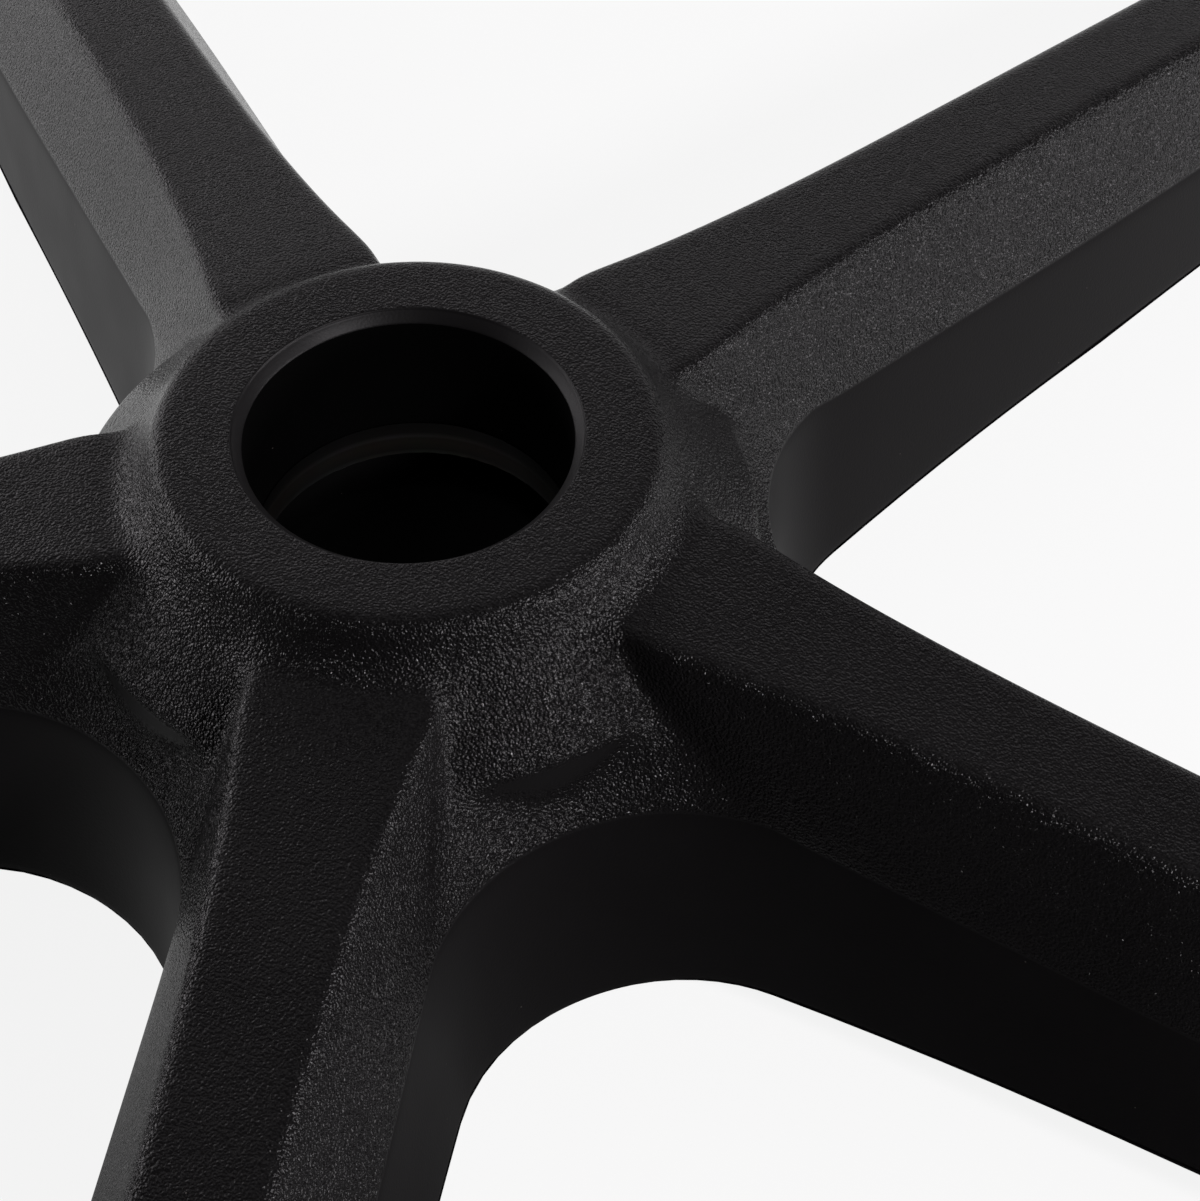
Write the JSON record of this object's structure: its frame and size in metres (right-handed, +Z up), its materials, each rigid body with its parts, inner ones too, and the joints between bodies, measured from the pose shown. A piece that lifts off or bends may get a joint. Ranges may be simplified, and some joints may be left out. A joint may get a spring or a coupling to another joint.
{
  "type": "office chair five star base",
  "caption": "One-piece moulded star base of an office chair: tapered hub for the gas lift, ribbed hollow arms with caster sockets",
  "frame": {"origin": "on the hub's axis, in the plane where the caster bosses and the hub's sleeve end", "axes": "+Z up along the hub's axis, out of the collar; +X along one arm; the other arms follow at equal turns"},
  "size_m": [0.5813, 0.6092, 0.076],
  "materials": {
    "base_plastic": "fine moulded grain",
    "ring_steel": "dull turned steel"
  },
  "bodies": {
    "root": {"star_base": "base_plastic", "hub_ring": "ring_steel"}
  },
  "joints": []
}
